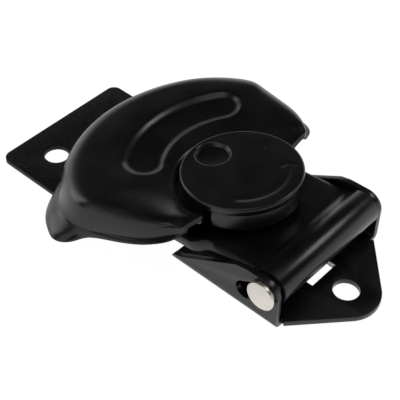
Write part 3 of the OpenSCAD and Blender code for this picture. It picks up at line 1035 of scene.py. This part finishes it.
    @staticmethod
    def relax(points: np.ndarray, first: int, last: int, passes: int = 60) -> None:
        """Soften the hollow between the wall and the lip.

        Args:
            points: Rows of points.
            first: First column to soften.
            last: Column after the last one to soften.
            passes: How often to soften.
        """
        for _ in range(passes):
            around = points[:, first - 1:last - 1] + points[:, first + 1:last + 1]
            points[:, first:last] = 0.5 * points[:, first:last] + 0.25 * around

    def build(self, fitter: Fitter, gap: float = 1e-7) -> None:
        """Wrap a grid round the sheet from its outer to its inner face, and round its cut edges.

        Args:
            fitter: Finishes the piece.
            gap: Distance in metres under which points are merged.
        """
        nose = self.nose()
        half = np.vstack([self.rim(), nose, self.trail(nose[-1, :2]), self.tip()])
        line = Stations.mirrored(half).even(self.line_steps, self.line_soft)
        outer = self.skin(line, 0.0)
        inner = self.skin(line, self.layout.sheet_t)
        inner[[0, -1], :, ::2] += self.end_slant
        middle = 0.5 * (outer + inner)
        wrap = np.hstack([outer, inner[:, ::-1], outer[:, :1]])
        ends = np.hstack([middle, middle[:, ::-1], middle[:, :1]])
        sheet = np.vstack([ends[:1], wrap, ends[-1:]]) * MM
        obj = Bench.grid("half_moon_shell", *sheet.shape[:2])
        co = Bench.points(obj)
        i, j = (np.rint((co[:, k] + 1) / 2 * (sheet.shape[k] - 1)).astype(int) for k in (0, 1))
        Bench.set_points(obj, sheet[i, j])
        Bench.close(obj, gap)
        Bench.round_edges(obj, self.cut_round, segments=4, degrees=self.cut_angle)
        Bench.place(obj, self.layout.cap())
        Bench.shade(obj, degrees=38.0)
        fitter.fit(obj, Slot.BLACK, Body.HANDLE, "half_moon_handle")


@dataclass
class DialCap:
    """The round cap: a pressed disc with a dished recess, a soft arrow groove and a half skirt."""

    layout: Layout
    r: float = 15.2
    low: float = 9.5
    top: float = 11.5
    round_r: float = 0.7
    low_edge: tuple[tuple[float, float], ...] = ((0.25, 0.0), (0.07, 0.05), (0.0, 0.22))
    skirt_r: float = 14.8
    skirt_low: float = 4.8
    skirt_from: float = 2.6
    skirt_edge: float = 0.25
    skirt_round: float = 0.18
    dish_r: float = 4.75
    dish_d: float = 1.2
    dish_wall: float = 1.25
    arrow_r: float = 11.2
    arrow_w: float = 2.4
    arrow_d: float = 0.25
    arrow_wall: float = 1.9
    arrow_half: float = 54.0
    arrow_spread: float = 0.3
    head_back: float = 12.0
    head_front: float = 6.0
    head_half: float = 2.5
    flat_slack: float = 0.01
    round_steps: int = 10
    rings: int = 62
    disc_steps: int = 224
    skirt_steps: int = 96

    def profile(self) -> list[Sequence[float]]:
        """Section of the disc.

        Returns:
            Radius and height from the middle of the underside to the middle of the top.
        """
        rise = [(0.0, self.low), (self.r * 0.5, self.low)]
        rise += [(self.r - back, self.low + up) for back, up in self.low_edge]
        rise.append((self.r, self.top - self.round_r))
        bend = polar(self.round_r, np.linspace(0, 90, self.round_steps)[1:])
        shoulder = np.array([self.r - self.round_r, self.top - self.round_r]) + bend
        rings = [(r, self.top) for r in np.linspace(self.r - self.round_r, 0, self.rings)[1:]]
        return [*rise, *shoulder, *rings]

    def dish(self, plan: np.ndarray) -> np.ndarray:
        """Depth of the dished recess at points in millimetres."""
        off = np.linalg.norm(plan - np.array([-self.layout.eccentric, 0.0]), axis=-1)
        return self.dish_d * smooth((self.dish_r - off) / self.dish_wall)

    def arrow(self, plan: np.ndarray) -> np.ndarray:
        """Depth of the arrow.

        Args:
            plan: Points in millimetres.

        Returns:
            The depth at each point.
        """
        neck = self.arrow_half - self.head_back
        angle = np.degrees(np.arctan2(plan[:, 1], plan[:, 0]))
        line = polar(self.arrow_r, np.clip(angle, -self.arrow_half, neck))
        shaft = self.arrow_w / 2 - np.linalg.norm(plan - line, axis=-1)
        back = polar(self.arrow_r, neck)
        tip = polar(self.arrow_r, self.arrow_half + self.head_front)
        length = float(np.linalg.norm(tip - back))
        way = unit(tip - back)
        along = (plan - back) @ way
        across = np.abs((plan - back) @ np.array([-way[1], way[0]]))
        slope = math.hypot(self.head_half, length)
        barb = np.minimum(along, (self.head_half * (length - along) - across * length) / slope)
        return self.arrow_d * smooth((np.maximum(shaft, barb) + self.arrow_spread) / self.arrow_wall)

    def skirt(self) -> bpy.types.Object:
        """Spin the half skirt on the apex side and close its ends.

        Returns:
            The skirt.
        """
        edge, low = self.skirt_edge, self.skirt_low
        outer, inner = self.skirt_r, self.skirt_r - self.layout.sheet_t
        loop = [(outer, self.low), (outer, low + edge), (outer - edge, low), (inner + edge, low),
                (inner, low + edge), (inner, self.low), (outer, self.low)]
        half = math.degrees(math.acos(self.skirt_from / self.skirt_r))
        obj = Bench.spin("half_skirt", loop, self.skirt_steps, turn=2 * half, start=half)
        Bench.edit(obj, lambda: (bpy.ops.mesh.select_all(action="DESELECT"),
                                 bpy.ops.mesh.select_non_manifold(),
                                 bpy.ops.mesh.edge_face_add(),
                                 bpy.ops.mesh.select_all(action="SELECT"),
                                 bpy.ops.mesh.normals_make_consistent(inside=False)))
        Bench.round_edges(obj, self.skirt_round, segments=2, degrees=60.0)
        return obj

    def build(self, fitter: Fitter) -> None:
        """Spin the disc, press its recesses and add the half skirt.

        Args:
            fitter: Finishes the piece.
        """
        disc = Bench.spin("dial_cap_pressing", self.profile(), self.disc_steps)
        co = Bench.points(disc)
        upper = co[:, 2] > (self.top - self.flat_slack) * MM
        plan = co[upper, :2] / MM
        co[upper, 2] -= np.maximum(self.dish(plan), self.arrow(plan)) * MM
        Bench.set_points(disc, co)
        skirt = self.skirt()
        Bench.take(disc)
        skirt.select_set(True)
        bpy.ops.object.join()
        Bench.place(disc, self.layout.cap())
        Bench.shade(disc, degrees=35.0)
        fitter.fit(disc, Slot.BLACK, Body.HANDLE, "dial_cap")


@dataclass
class PivotRivet:
    """The rivet: a thin bowl of a head that fills the dish, a shank and a formed tail."""

    layout: Layout
    r: float = 3.0
    head_r: float = 3.84
    head_flare: float = 0.34
    head_low: float = 10.33
    brim: float = 10.6
    brim_edge: float = 0.05
    bowl: float = 0.2
    tail_r: float = 5.5
    tail_top: float = 0.4
    tail_t: float = 1.2
    tail_in: tuple[float, float, float] = (1.2, 0.8, 0.1)
    tail_ease: float = 0.15
    bowl_steps: int = 18
    steps: int = 128

    def build(self, fitter: Fitter) -> None:
        """Spin the rivet.

        Args:
            fitter: Finishes the piece.
        """
        top, low = self.tail_top, self.tail_top - self.tail_t
        flat, slope, side = (self.tail_r - step for step in self.tail_in)
        points = [(0.0, low), (flat, low), (slope, low + self.tail_ease), (side, top - self.tail_ease),
                  (side, top), (self.r, top), (self.r, self.head_low),
                  (self.head_r - self.head_flare, self.head_low),
                  (self.head_r, self.brim - self.brim_edge), (self.head_r, self.brim)]
        for t in np.linspace(0, 1, self.bowl_steps)[1:]:
            points.append((self.head_r * (1 - t), self.brim - self.bowl * math.sin(t * math.pi / 2)))
        obj = Bench.spin("dished_rivet", points, self.steps)
        Bench.place(obj, self.layout.rivet())
        Bench.shade(obj, degrees=40.0)
        fitter.fit(obj, Slot.BLACK, Body.CARRIER, "pivot_rivet")


@dataclass
class HingePin:
    """The plated pin: a flat formed head with a rounded edge, a shank and a peened tail."""

    layout: Layout
    r: float = 2.5
    head_r: float = 3.8
    head_t: float = 1.6
    head_face: tuple[tuple[float, float], ...] = ((0.0, 0.02), (1.4, 0.015), (2.6, 0.0))
    disc_t: float = 0.5
    round_r: float = 0.2
    neck_r: float = 3.1
    neck_slope: float = 0.1
    tail_r: float = 3.1
    tail_t: float = 0.8
    tail_edge: float = 0.15
    seat: float = 20.3
    lay: float = -90.0
    round_steps: int = 8
    steps: int = 96

    def profile(self) -> list[Sequence[float]]:
        """Section of the pin.

        Returns:
            Radius and place along the pin, from the middle of the head to the middle of the tail.
        """
        end = -self.seat - self.head_t
        disc = end + self.disc_t
        tail = self.seat + self.tail_edge
        face = [(r, end - rise) for r, rise in self.head_face]
        bend = polar(self.round_r, np.linspace(-90, 0, self.round_steps))
        curve = np.array([self.head_r - self.round_r, end + self.round_r]) + bend
        body = [(self.head_r, disc), (self.neck_r, disc + self.neck_slope), (self.neck_r, -self.seat),
                (self.r, -self.seat), (self.r, self.seat), (self.tail_r - self.tail_edge, self.seat),
                (self.tail_r, tail)]
        quarter = polar(1.0, np.linspace(0, 90, self.round_steps)[1:])
        dome = quarter * np.array([self.tail_r, self.tail_t - self.tail_edge]) + np.array([0.0, tail])
        return [*face, *curve, *body, *dome]

    def build(self, fitter: Fitter) -> None:
        """Spin the pin and lay it across the ears.

        Args:
            fitter: Finishes the piece.
        """
        obj = Bench.spin("plated_pin", self.profile(), self.steps)
        Bench.place(obj, self.layout.pin() @ Matrix.Rotation(math.radians(self.lay), 4, "X"))
        Bench.shade(obj, degrees=35.0)
        fitter.fit(obj, Slot.PLATED, Body.PIN, "hinge_pin")


@dataclass
class Pressing:
    """A sheet pressing taken from its solid, with its cut edges and bends rounded."""

    node: str
    name: str
    slot: Slot
    body: Body
    width: float = 0.3
    angle: float = 28.0
    segments: int = 3

    def build(self, fitter: Fitter) -> bpy.types.Object:
        """Copy the solid and round its edges.

        Args:
            fitter: Finishes the piece.

        Returns:
            The piece.
        """
        obj = Bench.copy_node(fitter.frame["nodes"][self.node], self.name)
        self.fold(obj)
        Bench.round_edges(obj, self.width, self.segments, self.angle)
        Bench.shade(obj, degrees=30.0)
        fitter.fit(obj, self.slot, self.body, self.node)
        return obj

    def fold(self, obj: bpy.types.Object) -> None:
        """Leave the sheet's bends as the solid has them."""


@dataclass
class FlangedPressing(Pressing):
    """A pressing whose flat top turns down into flanges with round bends."""

    frame: Matrix = field(default_factory=Matrix)
    top: float = 2.7
    flanged_from: float = 4.0
    bend_r: float = 1.6
    bend_steps: int = 6
    upright: float = 0.1
    height_slack: float = 0.02
    place_slack: float = 0.05

    def fold(self, obj: bpy.types.Object) -> None:
        """Round the edges between the flat top and the flanges.

        Args:
            obj: The copied pressing.
        """
        back = self.frame.inverted()
        places = [back @ vertex.co / MM for vertex in obj.data.vertices]
        turned = {key for poly in obj.data.polygons
                  if abs((back.to_3x3() @ poly.normal).z) < self.upright for key in poly.edge_keys}
        first = self.flanged_from - self.place_slack
        weights = obj.data.attributes.new("bevel_weight_edge", "FLOAT", "EDGE")
        for edge in obj.data.edges:
            ends = [places[k] for k in edge.vertices]
            high = all(abs(p.z - self.top) < self.height_slack and -p.x > first for p in ends)
            weights.data[edge.index].value = 1.0 if high and edge.key in turned else 0.0
        LOG.info("%s: %d bends", obj.name, sum(item.value > 0 for item in weights.data))
        Bench.modify(obj, "BEVEL", width=self.bend_r * MM, segments=self.bend_steps, limit_method="WEIGHT",
                     use_clamp_overlap=False)


@dataclass
class LeafSpring(Pressing):
    """The leaf spring, which the eye flattens as the pin slides."""

    joint: str = "pin_slide"
    fixed_z: float = 0.1
    keep: float = 0.22

    def build(self, fitter: Fitter) -> bpy.types.Object:
        """Copy the leaf and give it a mesh of its own.

        Args:
            fitter: Finishes the piece.

        Returns:
            The piece.
        """
        obj = super().build(fitter)
        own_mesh(obj)
        return obj


@dataclass(frozen=True)
class Softbox:
    """A soft lamp: its place and size in metres, and its power in watts."""

    name: str
    place: tuple[float, float, float]
    size: tuple[float, float]
    power: float

    def light(self, aim: Vector) -> None:
        """Add the lamp.

        Args:
            aim: The point that it faces.
        """
        data = bpy.data.lights.new(self.name, "AREA")
        data.shape = "RECTANGLE"
        data.size, data.size_y = self.size
        data.energy = self.power
        obj = bpy.data.objects.new(self.name, data)
        bpy.context.scene.collection.objects.link(obj)
        place = Vector(self.place)
        turn = (aim - place).to_track_quat("-Z", "Y").to_matrix().to_4x4()
        obj.matrix_world = Matrix.Translation(place) @ turn


@dataclass
class Studio:
    """White floor, soft lamps, a dim upper room and the camera, fitted to the photograph."""

    azimuth: float = 40.82
    elevation: float = 44.57
    roll: float = 1.63
    target: tuple[float, float, float] = (-46.71, -0.08, 0.0)
    distance: float = 280.0
    focal_px: float = 1081.5
    image_px: float = 400.0
    sensor_mm: float = 36.0
    near: float = 0.01
    white: tuple[float, float, float] = (1.0, 1.0, 1.0)
    floor_size: float = 8.0
    floor_z: float = -0.0002
    floor_tone: tuple[float, float, float] = (0.92, 0.92, 0.92)
    floor_glow: float = 1.07
    floor_share: float = 0.92
    horizon: tuple[float, float] = (0.12, 0.42)
    ceiling: float = 0.03
    aim: tuple[float, float, float] = (-0.035, 0.0, 0.0)
    lamps: tuple[Softbox, ...] = (
        Softbox("top_softbox", (-0.05, -0.05, 0.9), (0.5, 0.5), 0.8),
        Softbox("back_softbox", (0.22, 0.5, 0.7), (0.3, 0.2), 1.2),
        Softbox("left_softbox", (-0.75, -0.2, 0.35), (0.3, 0.5), 1.0),
        Softbox("front_softbox", (-0.12, -0.72, 0.56), (0.75, 0.8), 1.7),
    )

    def camera(self) -> None:
        """Set the camera at the fitted place."""
        a, e, k = (math.radians(v) for v in (self.azimuth, self.elevation, self.roll))
        back = Vector((math.sin(a) * math.cos(e), -math.cos(a) * math.cos(e), math.sin(e)))
        right = Vector((math.cos(a), math.sin(a), 0.0))
        up = back.cross(right)
        r2 = math.cos(k) * right + math.sin(k) * up
        u2 = -math.sin(k) * right + math.cos(k) * up
        data = bpy.data.cameras.new("camera")
        data.sensor_width = self.sensor_mm
        data.lens = self.focal_px / self.image_px * self.sensor_mm
        data.clip_start = self.near
        cam = bpy.data.objects.new("camera", data)
        bpy.context.scene.collection.objects.link(cam)
        turn = Matrix((r2, u2, back)).transposed().to_4x4()
        cam.matrix_world = Matrix.Translation((Vector(self.target) + self.distance * back) * MM) @ turn
        bpy.context.scene.camera = cam

    def floor(self) -> None:
        """Add the pale floor, which keeps a faint shadow."""
        Bench.clear()
        bpy.ops.mesh.primitive_plane_add(size=self.floor_size, location=(0.0, 0.0, self.floor_z))
        obj = bpy.context.object
        obj.name = "floor"
        mat = bpy.data.materials.new("floor_white")
        sheet = Sheet.fresh(mat)
        path = sheet.add("ShaderNodeLightPath").outputs
        direct = sheet.math("MAXIMUM", path["Is Camera Ray"], path["Is Glossy Ray"])
        seen = sheet.math("MAXIMUM", direct, path["Is Transmission Ray"])
        share = sheet.math("MULTIPLY", seen, self.floor_share)
        plain = sheet.add("ShaderNodeBsdfDiffuse", {"Color": opaque(self.floor_tone)})
        glow = sheet.add("ShaderNodeEmission", {"Color": opaque(self.white), "Strength": self.floor_glow})
        mixed = sheet.add("ShaderNodeMixShader", {0: share, 1: plain.outputs[0], 2: glow.outputs[0]})
        sheet.add("ShaderNodeOutputMaterial", {"Surface": mixed.outputs[0]})
        obj.data.materials.append(mat)

    def world(self) -> None:
        """White to the camera, and a room with a bright horizon and a dim ceiling to the object."""
        world = bpy.data.worlds.new("studio")
        bpy.context.scene.world = world
        sheet = Sheet.fresh(world)
        way = sheet.add("ShaderNodeTexCoord").outputs["Generated"]
        up = sheet.add("ShaderNodeSeparateXYZ", {0: way}).outputs[2]
        glow = sheet.remap(up, *self.horizon, 1.0, self.ceiling)
        path = sheet.add("ShaderNodeLightPath").outputs
        seen = sheet.math("MAXIMUM", path["Is Camera Ray"], path["Is Transmission Ray"])
        strength = sheet.add("ShaderNodeMix", {0: seen, 2: glow, 3: 1.0}, data_type="FLOAT").outputs[0]
        back = sheet.add("ShaderNodeBackground", {"Color": opaque(self.white), "Strength": strength})
        sheet.add("ShaderNodeOutputWorld", {"Surface": back.outputs[0]})

    def build(self) -> None:
        """Set up the whole studio."""
        self.camera()
        self.floor()
        self.world()
        for lamp in self.lamps:
            lamp.light(Vector(self.aim))
        bpy.context.scene.view_settings.view_transform = "Standard"


def dress_hidden(fitter: Fitter) -> None:
    """Give the remaining solids their finishes.

    Args:
        fitter: Holds the frame and the finishes.
    """
    slots = {"pivot_hub": Slot.BLACK, "rivet_washer": Slot.PLATED, "friction_washer": Slot.PLATED}
    for node, slot in slots.items():
        fitter.paint.coat(fitter.frame["nodes"][node], slot)
        LOG.info("%s keeps its solid", node)


def main() -> None:
    """Build the latch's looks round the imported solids."""
    logging.basicConfig(level=logging.INFO, format="%(name)s: %(message)s")
    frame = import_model()
    layout = Layout()
    paint = Paintbox()
    paint.mix_all(layout)
    fitter = Fitter(frame, paint)
    Studio().build()
    for piece in (
        HalfMoonHandle(layout),
        DialCap(layout),
        PivotRivet(layout),
        HingePin(layout),
        Pressing("base_bracket", "base_pressing", Slot.BLACK, Body.BASE, width=0.3),
        Pressing("keeper_plate", "keeper_pressing", Slot.MATT, Body.BASE, width=0.25),
        FlangedPressing("hinge_plate", "hinge_pressing", Slot.BLACK, Body.CARRIER, width=0.3,
                        frame=layout.plate()),
        LeafSpring("return_spring", "leaf_blade", Slot.SPRING, Body.BASE, width=0.1),
    ):
        piece.build(fitter)
    dress_hidden(fitter)


if __name__ == "__main__":
    main()
